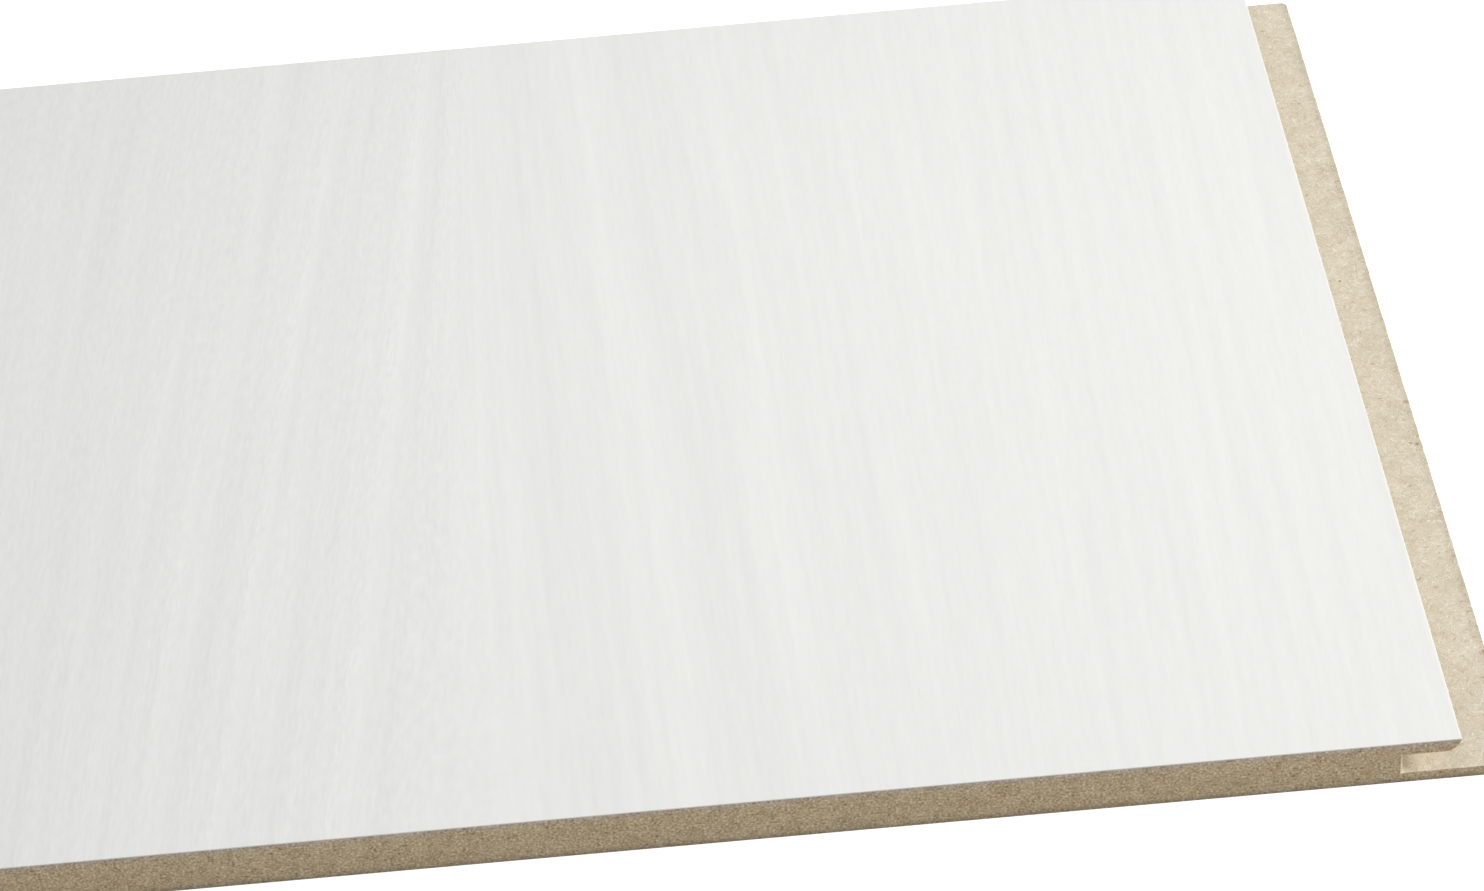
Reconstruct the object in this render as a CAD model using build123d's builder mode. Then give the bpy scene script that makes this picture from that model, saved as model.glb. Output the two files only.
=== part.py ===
from build123d import *

import math
import os

# A sawn length of tongue-and-groove wall panel: an MDF board with a thin white film on its face.
# It lies face up. X runs across the panel from tongue to groove, Y along the profiled edges.
# All sizes are in millimetres.

# Driving sizes of the panel
cover_width = 600.0  # visible face, from joint to joint
panel_length = 300.0  # between the two sawn ends
film_thickness = 0.3
film_arris_radius = 0.2  # eased long edges of the film

# Groove edge, from the back of the panel upwards
lip_thickness = 2.8
groove_height = 5.6
cap_thickness = 3.3  # board left above the groove
groove_depth = 12.4  # from the face edge inwards
lip_reach = 13.4  # how far the fixing lip stands out past the face edge
nose_undercut = 18.0  # degrees that the cap's end leans back under the face
nose_radius = 3.4  # lead-in that guides the tongue into the groove
groove_root_radius = 0.4

# Tongue edge, which fits the groove edge of the next panel
tongue_side_clearance = 0.15  # above and below the tongue
tongue_end_gap = 1.0  # between the tongue's tip and the bottom of the groove
lip_end_gap = 0.8  # between the next panel's lip and the rabbet that hides it
tongue_tip_radius = 1.5
tongue_root_radius = 0.4

# A round takes up at most this share of the wall that it is cut on
round_limit = 0.9

# Levels above the back of the panel
lip_top = lip_thickness
groove_top = lip_top + groove_height
board_thickness = groove_top + cap_thickness
tongue_bottom = lip_top + tongue_side_clearance
tongue_top = groove_top - tongue_side_clearance

# Places across the panel, with the whole width centred on the origin
tongue_length = groove_depth - tongue_end_gap
whole_width = tongue_length + cover_width + lip_reach
tongue_tip = -whole_width / 2
face_left = tongue_tip + tongue_length
face_right = face_left + cover_width
lip_end = face_right + lip_reach
groove_end = face_right - groove_depth
rabbet_end = face_left + lip_reach + lip_end_gap
nose_slope = math.radians(nose_undercut)
nose_wall = cap_thickness / math.cos(nose_slope)
nose_foot = face_right - cap_thickness * math.tan(nose_slope)

# Rounds, held back where the wall is too short for the round
nose_round = min(nose_radius, round_limit * nose_wall * math.tan(math.pi / 4 + nose_slope / 2))
tip_round = min(tongue_tip_radius, round_limit * (tongue_top - tongue_bottom) / 2)
film_round = min(film_arris_radius, round_limit * film_thickness)

os.makedirs("parts", exist_ok=True)


def corner(sketch, across, height):
    """The corner of a section nearest to a place across the panel and a height above its back."""
    return sketch.vertices().sort_by_distance((across, height))[0]


# The board, one section carried along the panel's length
with BuildPart() as mdf_board:
    with BuildSketch(Plane.XZ) as section:
        with BuildLine():
            Polyline(
                (rabbet_end, 0),
                (lip_end, 0),
                (lip_end, lip_top),
                (groove_end, lip_top),
                (groove_end, groove_top),
                (nose_foot, groove_top),
                (face_right, board_thickness),
                (face_left, board_thickness),
                (face_left, tongue_top),
                (tongue_tip, tongue_top),
                (tongue_tip, tongue_bottom),
                (rabbet_end, tongue_bottom),
                close=True,
            )
        make_face()
        fillet(corner(section, nose_foot, groove_top), nose_round)
        for height in (lip_top, groove_top):
            fillet(corner(section, groove_end, height), groove_root_radius)
        for height in (tongue_bottom, tongue_top):
            fillet(corner(section, tongue_tip, height), tip_round)
        fillet(corner(section, face_left, tongue_top), tongue_root_radius)
        fillet(corner(section, rabbet_end, tongue_bottom), tongue_root_radius)
    extrude(amount=panel_length / 2, both=True)

# The film, bonded to the board's face and stopping at the joints and the sawn ends
with BuildPart() as face_film:
    with BuildSketch(Plane.XY.offset(board_thickness)):
        with Locations(((face_left + face_right) / 2, 0)):
            Rectangle(cover_width, panel_length)
    extrude(amount=film_thickness)
    long_top_edges = face_film.edges().filter_by(Axis.Y).group_by(Axis.Z)[-1]
    fillet(long_top_edges, film_round)

mdf_board.part.label = "mdf_board"
face_film.part.label = "face_film"
for piece in (mdf_board.part, face_film.part):
    export_step(piece, f"parts/{piece.label}.step")
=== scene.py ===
import math

import bpy
import numpy as np
from mathutils import Matrix, Vector
from mathutils.geometry import delaunay_2d_cdt


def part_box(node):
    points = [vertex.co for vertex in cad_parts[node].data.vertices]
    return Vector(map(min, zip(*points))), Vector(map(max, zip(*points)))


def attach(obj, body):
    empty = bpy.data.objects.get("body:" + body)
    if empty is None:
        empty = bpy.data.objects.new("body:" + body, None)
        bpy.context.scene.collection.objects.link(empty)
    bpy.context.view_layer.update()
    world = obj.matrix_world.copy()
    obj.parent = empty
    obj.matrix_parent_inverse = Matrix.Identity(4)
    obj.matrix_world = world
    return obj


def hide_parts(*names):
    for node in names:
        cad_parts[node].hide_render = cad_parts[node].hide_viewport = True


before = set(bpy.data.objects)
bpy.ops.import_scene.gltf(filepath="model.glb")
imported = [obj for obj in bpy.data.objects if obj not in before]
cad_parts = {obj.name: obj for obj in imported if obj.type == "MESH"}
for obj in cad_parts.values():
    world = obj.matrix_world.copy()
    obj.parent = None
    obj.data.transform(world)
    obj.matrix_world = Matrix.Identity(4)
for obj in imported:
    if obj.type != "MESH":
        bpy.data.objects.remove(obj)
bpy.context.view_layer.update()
print("frame loaded with", sorted(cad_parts))

mm = 0.001  # meshes are in metres, sizes here in millimetres
sameSpot = 1e-6  # places closer than this are one
boardLow, boardHigh = (np.array(corner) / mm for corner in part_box("mdf_board"))
filmLow, filmHigh = (np.array(corner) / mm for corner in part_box("face_film"))
halfLength = boardHigh[1]
wearSeed = 12
chance = np.random.default_rng(wearSeed)


# Surfaces: a section loop carried along the panel

def unit(vectors):
    return vectors / np.linalg.norm(vectors, axis=-1, keepdims=True)


def roundedLoop(corners, radii, steps):
    # Each corner turns into an arc between its two tangent points: the centre plus the first and
    # last radius, weighted by the sines of the angle still to go and of the angle already swept.
    toLast = unit(np.roll(corners, 1, 0) - corners)
    toNext = unit(np.roll(corners, -1, 0) - corners)
    half = np.arccos(np.sum(toLast * toNext, 1, keepdims=True)) / 2
    radius = np.array(radii)[:, None]
    centre = corners + unit(toLast + toNext) * radius / np.sin(half)
    first = corners + toLast * radius / np.tan(half) - centre
    final = corners + toNext * radius / np.tan(half) - centre
    sweep = np.pi - 2 * half
    share = np.linspace(0, 1, steps)
    firstWeight = (np.sin((1 - share) * sweep) / np.sin(sweep))[..., None]
    finalWeight = (np.sin(share * sweep) / np.sin(sweep))[..., None]
    arcs = centre[:, None] + firstWeight * first[:, None] + finalWeight * final[:, None]
    return arcs.reshape(-1, 2)


def divided(loop, spacing):
    # Every run of the loop is cut into equal pieces no longer than the spacing given for it.
    ahead = np.roll(loop, -1, 0)
    counts = np.ceil(np.linalg.norm(ahead - loop, axis=1) / spacing).astype(int).clip(1)
    run = np.repeat(np.arange(len(loop)), counts)
    place = np.arange(counts.sum()) - np.repeat(np.cumsum(counts) - counts, counts)
    share = (place / counts[run])[:, None]
    return loop[run] + share * (ahead[run] - loop[run])


hiddenShare = 0.5  # of a hidden corner's round, so that its arc doesn't shrink to a point at the ends


def carried(loop, stations, endRounds):
    # The loop is repeated at each station along Y. Near both ends it shrinks along its own outward
    # normals by a quarter circle of the round given for each point: r - root(r² - how far into it²).
    along = np.roll(loop, -1, 0) - np.roll(loop, 1, 0)
    outward = unit(np.stack([along[:, 1], -along[:, 0]], 1))
    into = (np.abs(stations)[:, None] - (halfLength - endRounds)).clip(0, endRounds)
    inset = endRounds - np.sqrt(endRounds ** 2 - into ** 2)
    section = loop - inset[..., None] * outward
    lengthwise = np.broadcast_to(stations[:, None], section.shape[:2])
    return np.stack([section[..., 0], lengthwise, section[..., 1]], -1)


def pressedBack(grid, corner, direction, depth):
    # Points past a plane, which stands back from the corner by the depth, are moved onto it.
    direction = unit(np.array(direction, float))
    past = ((grid - corner) @ direction + depth).clip(0)
    return grid - past[..., None] * direction


def filled(loop):
    # Triangles between the points of a closed loop, seen along Y, with the widest angles there are.
    outline = [Vector(point) for point in loop[:, (0, 2)].tolist()]
    wholeLoop = list(range(len(loop)))
    insideOnly = 1
    triangles, sources = delaunay_2d_cdt(outline, [], [wholeLoop], insideOnly, sameSpot)[2:4]
    return np.array([source[0] for source in sources])[np.array(triangles)]


def skin(name, grid, sharpAngle):
    # Quads join each loop to the next, and flat triangles close the first and the last loop.
    index = np.arange(grid.shape[0] * grid.shape[1]).reshape(grid.shape[:2])
    ahead = np.roll(index, -1, 1)
    quads = np.stack([index[:-1], index[1:], ahead[1:], ahead[:-1]], -1).reshape(-1, 4)
    nearEnd = index[0][filled(grid[0])]
    farEnd = index[-1][filled(grid[-1])[:, ::-1]]
    faces = [*quads.tolist(), *nearEnd.tolist(), *farEnd.tolist()]
    mesh = bpy.data.meshes.new(name)
    mesh.from_pydata((grid * mm).reshape(-1, 3).tolist(), [], faces)
    mesh.polygons.foreach_set("use_smooth", np.arange(len(faces)) < len(quads))
    mesh.set_sharp_from_angle(angle=math.radians(sharpAngle))
    piece = bpy.data.objects.new(name, mesh)
    bpy.context.scene.collection.objects.link(piece)
    print(name, "has", len(faces), "faces")
    return piece


def softNoise(places, wavelength):
    # Random heights between 0 and 1, a wavelength apart. From one to the next the height follows
    # the eased share of the way: the share's square times three less two shares.
    scaled = (places - places.min()) / wavelength
    spareHeights = 3
    heights = chance.random(int(scaled.max()) + spareHeights)
    before = scaled.astype(int)
    share = scaled - before
    ease = share * share * (3 - 2 * share)
    return heights[before] * (1 - ease) + heights[before + 1] * ease


# Shader maths as expressions

class Wire:
    def __init__(self, sheet, socket):
        self.sheet = sheet
        self.socket = socket

    def out(self, name):  # another output of the same node
        return Wire(self.sheet, self.socket.node.outputs[name])

    def maths(self, operation, *values):
        return self.sheet.add("ShaderNodeMath", {"operation": operation}, dict(enumerate(values)))

    def __add__(self, other):
        return self.maths("ADD", self, other)

    def __radd__(self, other):
        return self.maths("ADD", other, self)

    def __sub__(self, other):
        return self.maths("SUBTRACT", self, other)

    def __rsub__(self, other):
        return self.maths("SUBTRACT", other, self)

    def __mul__(self, other):
        return self.maths("MULTIPLY", self, other)

    def __rmul__(self, other):
        return self.maths("MULTIPLY", other, self)

    def __truediv__(self, other):
        return self.maths("DIVIDE", self, other)

    def __pow__(self, other):
        return self.maths("POWER", self, other)

    def __abs__(self):
        return self.maths("ABSOLUTE", self)

    def larger(self, other):
        return self.maths("MAXIMUM", self, other)

    def between(self, low, high):  # 0 at low, 1 at high, eased
        settings = {"interpolation_type": "SMOOTHSTEP"}
        sockets = {"Value": self, "From Min": low, "From Max": high}
        return self.sheet.add("ShaderNodeMapRange", settings, sockets)


def largest(wires):
    top = wires[0]
    for wire in wires[1:]:
        top = top.larger(wire)
    return top


def spot(x, y, spotX, spotY, radius):  # 1 in the middle of a round spot, 0 from its radius on
    away = ((x - spotX) ** 2 + (y - spotY) ** 2) ** 0.5
    return away.between(radius, 0)


noiseMiddle = 0.5  # noise runs from 0 to 1
softDetail = 2.0  # finer noises added to a noise
ownScale = 1.0  # of a texture, since the places that go in are divided by its sizes
firstColour, secondColour = 6, 7  # sockets of a mix


class Sheet:  # the nodes of one material or of the world
    def __init__(self, tree):
        self.tree = tree
        tree.nodes.clear()

    def add(self, kind, settings, sockets):
        node = self.tree.nodes.new(kind)
        for name, value in settings.items():
            setattr(node, name, value)
        for name, value in sockets.items():
            if isinstance(value, Wire):
                self.tree.links.new(value.socket, node.inputs[name])
            else:
                node.inputs[name].default_value = value
        live = [socket for socket in node.outputs if socket.enabled]
        return Wire(self, live[0]) if live else None

    def place(self):  # x, y and z on the piece, in millimetres
        seat = self.add("ShaderNodeTexCoord", {}, {}).out("Object")
        split = self.add("ShaderNodeSeparateXYZ", {}, {0: self.shade(seat, 1 / mm)})
        return split, split.out("Y"), split.out("Z")

    def vector(self, x, y, z):
        return self.add("ShaderNodeCombineXYZ", {}, {0: x, 1: y, 2: z})

    def noise(self, x, y, z, detail=softDetail):
        sockets = {"Vector": self.vector(x, y, z), "Scale": ownScale, "Detail": detail}
        return self.add("ShaderNodeTexNoise", {"noise_dimensions": "3D"}, sockets)

    def even(self, x, y, z, size):  # noise around 0, of the same size in every direction
        return self.noise(x / size, y / size, z / size) - noiseMiddle

    def blend(self, share, first, second):  # of two colours
        sockets = {"Factor": share, firstColour: first, secondColour: second}
        return self.add("ShaderNodeMix", {"data_type": "RGBA"}, sockets)

    def shade(self, colour, amount):  # a colour or a vector times a number
        return self.add("ShaderNodeVectorMath", {"operation": "SCALE"}, {0: colour, "Scale": amount})

    def stain(self, colour, change, weights):
        # The colour gets lighter or darker by a share, weighted for red, green and blue.
        amounts = self.vector(*(1 + change * weight for weight in weights))
        return self.add("ShaderNodeVectorMath", {"operation": "MULTIPLY"}, {0: colour, 1: amounts})

    def bump(self, height, depth):
        sockets = {"Strength": 1.0, "Distance": depth * mm, "Height": height}
        return self.add("ShaderNodeBump", {}, sockets)

    def finish(self, sockets):
        surface = self.add("ShaderNodeBsdfPrincipled", {}, sockets)
        self.add("ShaderNodeOutputMaterial", {}, {"Surface": surface})


def newMaterial(name):
    material = bpy.data.materials.new(name)
    material.use_nodes = True
    return material, Sheet(material.node_tree)


# The board: raw MDF with milled edges and sawn ends

board = {
    "lipThickness": 2.8,
    "grooveHeight": 5.6,
    "grooveDepth": 12.4,
    "noseUndercut": 18.0,  # degrees
    "noseRadius": 3.4,
    "rootRadius": 0.4,
    "tongueClearance": 0.15,
    "tongueTipRadius": 1.5,
    "lipGap": 0.8,
    "arris": 0.25,  # wear on the milled corners
    "sawnArris": 0.1,
    "hiddenArris": 0.02,  # under the film
    "grooveWear": 1.15,  # worn ends of the groove's inner wall
    "arcSteps": 7,
    "lipSpacing": 0.42,
    "plainSpacing": 20.0,
    "stationSpacing": 1.25,
    "stationDigits": 3,  # stations that are the same to this many digits are one
    # nicks in the lip's edge: place along Y, depth and half length
    "nicks": ((145.5, 0.5, 0.9), (18.0, 0.4, 0.8), (-40.0, 0.45, 1.1), (-115.0, 0.7, 1.0)),
    "nickReach": 2.5,  # fine stations on both sides of a nick, in half lengths
    "fineSpacing": 0.2,
    "crushedCorner": 0.9,  # the lip's far corner
    "edgeWander": 0.12,  # how uneven the lip's edge is
    "edgeReach": 1.0,  # how far in that goes
    "edgeWave": 3.0,
    "sharpAngle": 40.0,
}
grooveWall = filmHigh[0] - board["grooveDepth"]


def boardLoop():
    # The section: straight runs between the corners of lip, groove, tongue and rabbet, all rounded.
    lipTop = board["lipThickness"]
    grooveTop = lipTop + board["grooveHeight"]
    tongueLow = lipTop + board["tongueClearance"]
    tongueHigh = grooveTop - board["tongueClearance"]
    lean = (boardHigh[2] - grooveTop) * math.tan(math.radians(board["noseUndercut"]))
    rabbetEnd = filmLow[0] + boardHigh[0] - filmHigh[0] + board["lipGap"]
    corners = np.array([
        (rabbetEnd, 0), (boardHigh[0], 0), (boardHigh[0], lipTop), (grooveWall, lipTop),
        (grooveWall, grooveTop), (filmHigh[0] - lean, grooveTop), (filmHigh[0], boardHigh[2]),
        (filmLow[0], boardHigh[2]), (filmLow[0], tongueHigh), (boardLow[0], tongueHigh),
        (boardLow[0], tongueLow), (rabbetEnd, tongueLow),
    ])
    arris, root, hidden, tip = (board[k] for k in ("arris", "rootRadius", "hiddenArris", "tongueTipRadius"))
    radii = (arris, arris, arris, root, root, board["noseRadius"], hidden, hidden, root, tip, tip, root)
    loop = roundedLoop(corners, radii, board["arcSteps"])
    onLip = np.minimum(loop[:, 0], np.roll(loop[:, 0], -1)) > grooveWall
    return divided(loop, np.where(onLip, board["lipSpacing"], board["plainSpacing"]))


def boardStations():
    # Even stations, with finer ones at each nick and in the rounds of the sawn ends.
    even = np.arange(-halfLength, halfLength, board["stationSpacing"])
    fine = [
        np.arange(y - board["nickReach"] * half, y + board["nickReach"] * half, board["fineSpacing"])
        for y, depth, half in board["nicks"]
    ]
    turn = np.sin(np.linspace(0, np.pi / 2, board["arcSteps"]))
    ends = [halfLength - board[k] + board[k] * turn for k in ("sawnArris", "grooveWear")]
    stations = np.concatenate([even, *fine, *ends, *(-end for end in ends)])
    return np.unique(stations[np.abs(stations) <= halfLength].round(board["stationDigits"]))


def boardEndRounds(loop):
    # The saw's arris all round, next to none under the film, and the wear close to the groove's wall.
    underFilm = loop[:, 1] > boardHigh[2] - board["sawnArris"]
    rounds = np.where(underFilm, board["hiddenArris"] * hiddenShare, board["sawnArris"])
    aside = np.abs(loop[:, 0] - grooveWall) / board["rootRadius"]
    inGroove = (loop[:, 1] > board["lipThickness"] - sameSpot) & ~underFilm
    share = (1 - aside).clip(0) * inGroove
    return rounds + share * (board["grooveWear"] - rounds)


def makeBoard():
    # The section carried along Y. The lip's edge moves in by the wander times a soft noise, less and
    # less over the reach, and each nick presses it back by its depth times a bell curve along Y.
    loop = boardLoop()
    stations = boardStations()
    grid = carried(loop, stations, boardEndRounds(loop))
    nearEdge = (1 - (boardHigh[0] - grid[..., 0]) / board["edgeReach"]).clip(0)
    grid[..., 0] -= nearEdge * board["edgeWander"] * softNoise(stations, board["edgeWave"])[:, None]
    chips = sum(depth * np.exp(-((stations - y) / half) ** 2) for y, depth, half in board["nicks"])
    lipCorner = np.stack(np.broadcast_arrays(boardHigh[0], grid[..., 1], board["lipThickness"]), -1)
    grid = pressedBack(grid, lipCorner, (1, 0, 1), chips[:, None] - board["edgeWander"])
    farCorner = np.stack(np.broadcast_arrays(boardHigh[0], halfLength, grid[..., 2]), -1)
    grid = pressedBack(grid, farCorner, (1, 1, 0), board["crushedCorner"])
    return skin("boardBody", grid, board["sharpAngle"])


mdfFinish = {
    "milled": (0.68, 0.611, 0.482, 1),
    "sawn": (0.475, 0.371, 0.231, 1),
    "stainWeights": (0.85, 1.02, 1.26),  # dark fibres are browner and pale ones whiter
    "sawnReach": (0.2, 0.04),  # the saw's darker tone starts and is full this far from the end
    "fibreLength": 1.7,
    "fibreWidth": 0.24,
    "fibreTurns": (10, 65, 125),  # degrees, in the plane of the board
    "fibreBend": 2.2,
    "fibreLight": (0.58, 0.74),  # noise where pale fibres start and are full
    "fibreDark": (0.6, 0.8),
    "fibreContrast": 0.4,
    "grainSize": (0.62, 0.58),  # chopped fibre ends on the saw cuts, across and up
    "grainDetail": 3.0,
    "grainLight": (0.46, 0.72),
    "grainDark": (0.46, 0.24),
    "grainContrast": 0.66,
    "clumpSize": 2.2,
    "clumpContrast": 0.7,
    "mottleSize": 4.5,
    "mottleContrast": 0.34,
    "speckSpacing": 2.6,  # dark slivers of bark, longer across the panel
    "speckStretch": 2.2,
    "speckSize": (0.36, 0.12),
    "speckDark": 0.32,
    # on the saw cuts: darker towards the bottom, and a greyer dense layer under the film
    "bottomDarkerDepth": 1.9,
    "bottomDarkerTone": (0.302, 0.243, 0.164, 1),
    "faceDepth": 1.9,
    "faceLayer": (0.445, 0.378, 0.302, 1),
    # dark bruises on the lip: x, y, radius and how dark
    "bruises": (
        (312.1, 145.5, 0.8, 0.3), (307.7, 124.6, 0.6, 0.2), (310.4, 124.2, 0.5, 0.18),
        (309.5, 76.3, 0.6, 0.2), (310.9, 64.4, 0.7, 0.25), (304.4, 23.2, 0.7, 0.5),
        (311.7, 18.4, 0.5, 0.28), (305.8, 7.4, 0.5, 0.25), (306.4, -10.7, 0.8, 0.4),
        (311.4, -14.1, 0.7, 0.28), (311.6, -26.1, 1.2, 0.38), (309.8, -41.4, 0.8, 0.5),
        (311.1, -42.0, 0.9, 0.5), (307.7, -56.6, 0.6, 0.25), (311.7, -66.5, 0.6, 0.25),
        (311.5, -82.4, 0.8, 0.25), (311.0, -101.4, 0.6, 0.3), (312.0, -106.6, 0.6, 0.25),
        (312.0, -114.8, 1.2, 0.5),
    ),
    "rimWidth": 3.0,  # darker towards the lip's outer edge
    "rimDark": 0.15,
    "wallShadeReach": (1.5, 0.8),  # painted shade on both sides of the groove's inner wall
    "wallShadeDark": 0.25,
    "paintedGrooveLight": (0.83, 0.748, 0.59, 1),  # painted light: paler inside the groove, lifting the shade under its cap
    "paintedGrooveLightReach": (-1.0, 6.0),  # inside the film's edge
    "roughness": 0.88,
    "bumpDepth": 0.03,
}


def milledFibres(sheet, x, y, z):  # 1 on pale fibres and -1 on dark ones, which lie in three directions
    layers = []
    for turn in mdfFinish["fibreTurns"]:
        cosine, sine = math.cos(math.radians(turn)), math.sin(math.radians(turn))
        along = (x * cosine + y * sine) / mdfFinish["fibreLength"]
        across = (y * cosine - x * sine) / mdfFinish["fibreWidth"]
        layers.append(sheet.noise(along + turn, across, z / mdfFinish["fibreWidth"]))
    pale = largest(layers)
    dark = largest([1 - layer for layer in layers])
    return pale.between(*mdfFinish["fibreLight"]) - dark.between(*mdfFinish["fibreDark"])


def sawnGrains(sheet, x, y, z):  # 1 on pale fibre ends and -1 on dark ones
    across, up = mdfFinish["grainSize"]
    grains = sheet.noise(x / across, y / across, z / up, mdfFinish["grainDetail"])
    return grains.between(*mdfFinish["grainLight"]) - grains.between(*mdfFinish["grainDark"])


def barkSpecks(sheet, x, y, z):
    spacing = mdfFinish["speckSpacing"]
    seat = sheet.vector(x / (spacing * mdfFinish["speckStretch"]), y / spacing, z / spacing)
    away = sheet.add("ShaderNodeTexVoronoi", {}, {"Vector": seat, "Scale": ownScale}) * spacing
    return away.between(*mdfFinish["speckSize"]) * mdfFinish["speckDark"]


def wearAndShadeMarks(x, y, z):  # the lip's darker outer edge, painted shade along the groove's inner wall and the bruises
    marks = (boardHigh[0] - x).between(mdfFinish["rimWidth"], 0) * mdfFinish["rimDark"]
    grooveHalf = board["grooveHeight"] / 2
    grooveMiddle = board["lipThickness"] + grooveHalf
    inGroove = abs(z - grooveMiddle).between(grooveHalf, grooveHalf - board["rootRadius"])
    # painted shade in the groove's inner corner
    paintedWallShade = abs(x - grooveWall).between(*mdfFinish["wallShadeReach"])
    marks = marks + paintedWallShade * inGroove * mdfFinish["wallShadeDark"]
    for markX, markY, radius, strength in mdfFinish["bruises"]:
        marks = marks + spot(x, y, markX, markY, radius) * strength
    return marks


def mdfMaterial():
    material, sheet = newMaterial("rawMdf")
    x, y, z = sheet.place()
    mottle = sheet.even(x, y, z, mdfFinish["mottleSize"])
    clumps = sheet.even(x, y, z, mdfFinish["clumpSize"])
    bentX = x + mottle * mdfFinish["fibreBend"]
    bentY = y + clumps * mdfFinish["fibreBend"]
    fibres = milledFibres(sheet, bentX, bentY, z)
    ends = sawnGrains(sheet, x, y, z) * mdfFinish["grainContrast"] + clumps * mdfFinish["clumpContrast"]
    sawn = (halfLength - abs(y)).between(*mdfFinish["sawnReach"])
    change = (1 - sawn) * fibres * mdfFinish["fibreContrast"] + sawn * ends
    marks = barkSpecks(sheet, bentX, bentY, z) + wearAndShadeMarks(x, y, z)
    change = change + mottle * mdfFinish["mottleContrast"] - marks
    # painted light: the paler tone inside the film's edge lifts the shade in the groove
    inside = (filmHigh[0] - x).between(*mdfFinish["paintedGrooveLightReach"])
    milledTone = sheet.blend(inside, mdfFinish["milled"], mdfFinish["paintedGrooveLight"])
    underFilm = (boardHigh[2] - z).between(mdfFinish["faceDepth"], 0)
    sawnTone = sheet.blend(underFilm, mdfFinish["sawn"], mdfFinish["faceLayer"])
    # darker towards the bottom of the saw cuts
    sawnTone = sheet.blend(z.between(mdfFinish["bottomDarkerDepth"], 0), sawnTone, mdfFinish["bottomDarkerTone"])
    tone = sheet.blend(sawn, milledTone, sawnTone)
    sheet.finish({
        "Base Color": sheet.stain(tone, change, mdfFinish["stainWeights"]),
        "Roughness": mdfFinish["roughness"],
        "Normal": sheet.bump(fibres, mdfFinish["bumpDepth"]),
    })
    return material


# The film: white, with a plain-sawn wood figure pressed and printed into it

film = {
    "bevel": (0.3, 0.14),  # eased long edges, across and down
    "bevelRounds": (0.1, 0.4),  # where the bevel meets the edge and the face
    "footRound": 0.02,
    "sawnArris": 0.05,
    "arcSteps": 5,
    "topSpacing": 0.6,
    "stationSpacing": 5.0,
    "reliefDepth": 0.012,
    "reliefWave": 3.0,
    "heartX": 80.8,  # middle of the figure, from which the lines lean away
    "heartWidth": 20.0,
    "lean": 0.085,
    "straightAt": 130.0,  # distance from the heart at which the lines are straight
    "sharpAngle": 20.0,
}


def grainLine(x, y):
    # Distance from the heart plus the lean times y. The lean swaps sides smoothly at the heart, as
    # the distance over the root of distance² and width² does. Far from the heart it fades, as
    # (1 - r) / (1 + r²) does, with r the square of the distance over that of the straight lines.
    off = x - film["heartX"]
    share = off ** 2 / film["straightAt"] ** 2
    swap = off / (off ** 2 + film["heartWidth"] ** 2) ** 0.5
    return off + y * film["lean"] * swap * (1 - share) / (1 + share ** 2)


def makeFilm():
    # A thin section with bevelled upper corners, carried along Y. The face sinks by the relief's depth
    # times a soft noise that stays the same along each line of the grain.
    left, right, foot, top = filmLow[0], filmHigh[0], filmLow[2], filmHigh[2]
    across, down = film["bevel"]
    corners = np.array([
        (left, foot), (right, foot), (right, top - down),
        (right - across, top), (left + across, top), (left, top - down),
    ])
    footRound = film["footRound"]
    edgeRound, faceRound = film["bevelRounds"]
    radii = (footRound, footRound, edgeRound, faceRound, faceRound, edgeRound)
    loop = roundedLoop(corners, radii, film["arcSteps"])
    faceLevel = top - footRound  # the face's points are above it
    loop = divided(loop, np.where(loop[:, 1] > faceLevel, film["topSpacing"], right - left))
    end = halfLength - film["sawnArris"]
    even = np.arange(-halfLength, halfLength, film["stationSpacing"])
    stations = np.unique(np.concatenate([even, (-end, end, halfLength)]))
    endRounds = np.where(loop[:, 1] > foot + footRound, film["sawnArris"], footRound * hiddenShare)
    grid = carried(loop, stations, endRounds)
    relief = softNoise(grainLine(grid[..., 0], grid[..., 1]), film["reliefWave"])
    grid[..., 2] -= (grid[..., 2] > faceLevel) * film["reliefDepth"] * relief
    return skin("grainFilm", grid, film["sharpAngle"])


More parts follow.
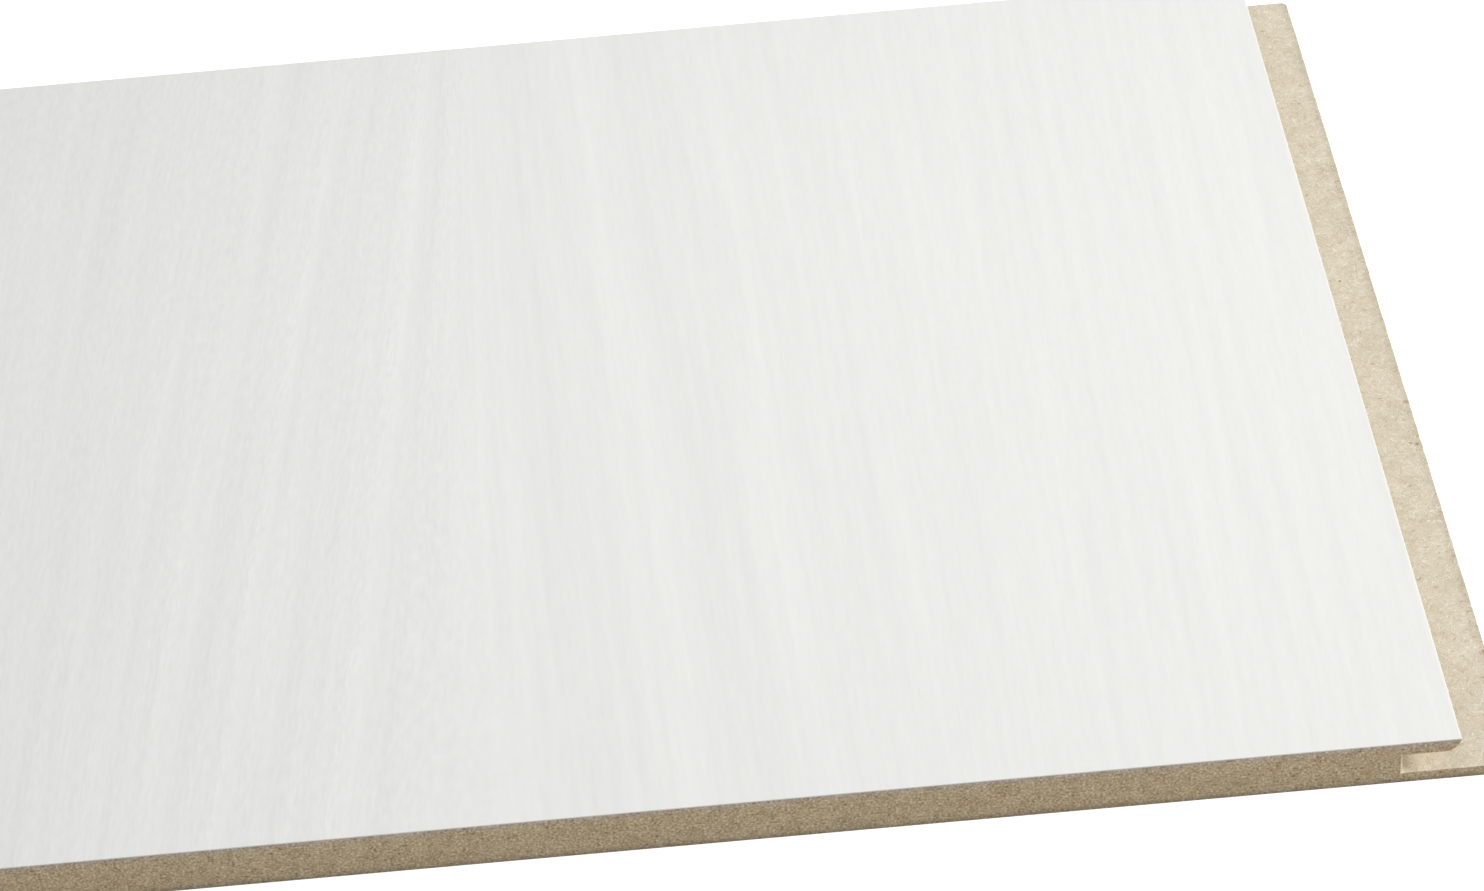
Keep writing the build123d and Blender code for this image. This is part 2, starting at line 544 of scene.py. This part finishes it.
filmFinish = {
    "white": (0.858, 0.859, 0.834, 1),
    "cutEdge": (0.82, 0.79, 0.75, 1),
    "cutReach": (0.03, 0.01),  # from the sawn ends
    "edgeReach": (0.3, 0.12),  # from the long edges
    "wander": 3.0,
    "wanderSize": (50.0, 140.0),  # noise sizes are across and along the grain
    # pale and dark bands of the figure: place across the grain, half width and strength
    "bands": (
        (-362, 6, 1.4), (-341, 7, -1.3), (-318, 4, 2.2), (-301, 5, -1.3), (-279, 10, 1.7), (-256, 5, -1.4),
        (-233, 6, 1.6), (-211, 8, -1.3), (-193, 4, 2.4), (-175, 5, -1.5), (-157, 8, 1.5), (-138, 6, -1.2),
        (-96, 7, -1.4), (-76, 4, 0.9), (-62, 5, 1.9), (-55, 4, -1.3), (-44, 3, 3.0), (-31, 6, -1.3),
        (-17, 4, 3.0), (-10, 5, -1.4), (5, 14, 1.3), (20, 6, -1.4), (41, 11, 2.1), (53, 4, -1.6),
        (60, 6, -1.6), (74, 6, 1.6), (130, 5, 0.6),
    ),
    "bandContrast": 0.009,
    "bandBreak": 1.3,  # how much the bands come and go along the grain
    "bandBreakSize": (8.0, 55.0),
    "bandFray": 6.0,  # how far the pores pull at the bands' edges
    "lineSize": (3.3, 130.0),
    "lineContrast": 0.092,
    "fleckSize": (1.3, 14.0),
    "fleckContrast": 0.054,
    "poreSize": (0.8, 4.5),
    "poreContrast": 0.13,
    "poreFade": (8.0, -6.0),  # pores are open left of the heart
    "poreLeast": 0.38,  # and partly filled right of it
    # dark specks on the face: x and y
    "specks": ((88.6, 77.7), (126.3, 92.4), (-7.9, -2.2), (112.8, -118.8)),
    "speckRadius": 0.35,
    "speckDark": 0.12,
    "roughness": 0.62,
    "roughContrast": 0.2,
    "gloss": 0.25,
    "bumpDepth": 0.006,
}


def filmMaterial():
    material, sheet = newMaterial("whiteGrainFilm")
    x, y = sheet.place()[:2]

    def streaks(across, size):  # noise around 0, drawn out along the grain
        return sheet.noise(across / size[0], y / size[1], 0.0) - noiseMiddle

    line = grainLine(x, y) + streaks(x, filmFinish["wanderSize"]) * filmFinish["wander"]
    openShare = line.between(*filmFinish["poreFade"])
    pores = streaks(line, filmFinish["poreSize"])
    pores = pores * (openShare * (1 - filmFinish["poreLeast"]) + filmFinish["poreLeast"])
    lines = streaks(line, filmFinish["lineSize"])
    flecks = streaks(line, filmFinish["fleckSize"])
    value = 1 + lines * filmFinish["lineContrast"] + pores * filmFinish["poreContrast"]
    value = value + flecks * filmFinish["fleckContrast"]
    frayed = line + pores * filmFinish["bandFray"]
    broken = 1 + streaks(line, filmFinish["bandBreakSize"]) * (filmFinish["bandBreak"] / noiseMiddle)
    for place, half, strength in filmFinish["bands"]:
        band = abs(frayed - place).between(half, 0) * broken
        value = value + band * (strength * filmFinish["bandContrast"])
    for speckX, speckY in filmFinish["specks"]:
        speck = spot(x, y, speckX, speckY, filmFinish["speckRadius"])
        value = value - speck * filmFinish["speckDark"]
    middle, halfWidth = (filmHigh[0] + filmLow[0]) / 2, (filmHigh[0] - filmLow[0]) / 2
    sawn = (halfLength - abs(y)).between(*filmFinish["cutReach"])
    eased = (halfWidth - abs(x - middle)).between(*filmFinish["edgeReach"])
    tone = sheet.blend(sawn.larger(eased), filmFinish["white"], filmFinish["cutEdge"])
    sheet.finish({
        "Base Color": sheet.shade(tone, value),
        "Roughness": filmFinish["roughness"] + pores * filmFinish["roughContrast"],
        "Specular IOR Level": filmFinish["gloss"],
        "Normal": sheet.bump(lines + pores, filmFinish["bumpDepth"]),
    })
    return material


def fit(piece, material, node):
    piece.data.materials.append(material)
    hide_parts(node)
    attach(piece, "root")


fit(makeBoard(), mdfMaterial(), "mdf_board")
fit(makeFilm(), filmMaterial(), "face_film")


# Studio: white floor, soft boxes and the camera

studio = {
    "floorHalf": 3000.0,
    "floorDrop": 0.05,
    "floorPale": 0.7,
    "floorGlow": 0.68,  # seen by the camera and in reflections
    "skyLight": 0.47,
    "skyColour": (1, 1, 1, 1),
    # soft boxes: place, what it points at, size and power
    "keySoftBox": ((2220, -430, 1408), (150, 0, 0), 600, 38.0),
    "topSoftBox": ((250, 60, 540), (250, 60, 0), 350, 0.58),
}


def backdropShare(sheet):  # 1 for the rays that should see a white background
    path = sheet.add("ShaderNodeLightPath", {}, {})
    return largest([path.out(f"Is {kind} Ray") for kind in ("Camera", "Glossy", "Transmission")])


def makeFloor():
    half = studio["floorHalf"]
    across, lengthwise = np.meshgrid((-half, half), (-half, half))
    level = np.full_like(across, -studio["floorDrop"])
    corners = np.stack([across, lengthwise, level], -1).reshape(-1, 3) * mm
    square = (0, 1, 3, 2)  # the corners, one after the other round the floor
    mesh = bpy.data.meshes.new("floor")
    mesh.from_pydata(corners.tolist(), [], [square])
    floor = bpy.data.objects.new("floor", mesh)
    bpy.context.scene.collection.objects.link(floor)
    material, sheet = newMaterial("whiteFloor")
    pale = studio["floorPale"]
    matte = sheet.add("ShaderNodeBsdfDiffuse", {}, {"Color": (pale, pale, pale, 1)})
    glow = sheet.add("ShaderNodeEmission", {}, {"Strength": backdropShare(sheet) * studio["floorGlow"]})
    both = sheet.add("ShaderNodeAddShader", {}, {0: matte, 1: glow})
    sheet.add("ShaderNodeOutputMaterial", {}, {"Surface": both})
    mesh.materials.append(material)


def makeSky():
    world = bpy.data.worlds.new("studioSky")
    world.use_nodes = True
    bpy.context.scene.world = world
    sheet = Sheet(world.node_tree)
    seen = backdropShare(sheet)
    strength = seen + (1 - seen) * studio["skyLight"]
    sky = sheet.add("ShaderNodeBackground", {}, {"Color": studio["skyColour"], "Strength": strength})
    sheet.add("ShaderNodeOutputWorld", {}, {"Surface": sky})


def standing(name, data, axes, place):  # a light or camera, by the directions of its own axes
    turned = Matrix(np.stack(axes, 1).tolist()).to_4x4()
    turned.translation = np.array(place) * mm
    holder = bpy.data.objects.new(name, data)
    holder.matrix_world = turned
    bpy.context.scene.collection.objects.link(holder)
    return holder


def softBox(name):
    place, aim, size, power = studio[name]
    lamp = bpy.data.lights.new(name, "AREA")
    lamp.size = size * mm
    lamp.energy = power
    back = unit(np.subtract(place, aim).astype(float))
    side = unit(np.cross((0, 1, 0), back))
    holder = standing(name, lamp, (side, np.cross(back, side), back), place)
    holder.visible_camera = False


camera = {
    "place": (149.05, -703.0, 584.3),
    "lookDown": 40.426,  # degrees
    "tilt": 5.07,  # degrees clockwise
    "focalPixels": 3653.0,
    "imageWidth": 1484,  # pixels
    "sensorWidth": 36.0,
    "clipStart": 10.0,
}


def makeCamera():
    down, tilt = math.radians(camera["lookDown"]), math.radians(camera["tilt"])
    forward = np.array((0, math.cos(down), -math.sin(down)))
    right = np.array((1, 0, 0))
    up = np.cross(right, forward)
    side = right * math.cos(tilt) - up * math.sin(tilt)
    rise = right * math.sin(tilt) + up * math.cos(tilt)
    lens = bpy.data.cameras.new("camera")
    lens.sensor_fit = "HORIZONTAL"
    lens.sensor_width = camera["sensorWidth"]
    lens.lens = camera["focalPixels"] / camera["imageWidth"] * camera["sensorWidth"]
    lens.clip_start = camera["clipStart"] * mm
    bpy.context.scene.camera = standing("camera", lens, (side, rise, -forward), camera["place"])


makeFloor()
makeSky()
softBox("keySoftBox")
softBox("topSoftBox")
makeCamera()
bpy.context.scene.view_settings.view_transform = "Standard"
print("studio lit and camera placed")
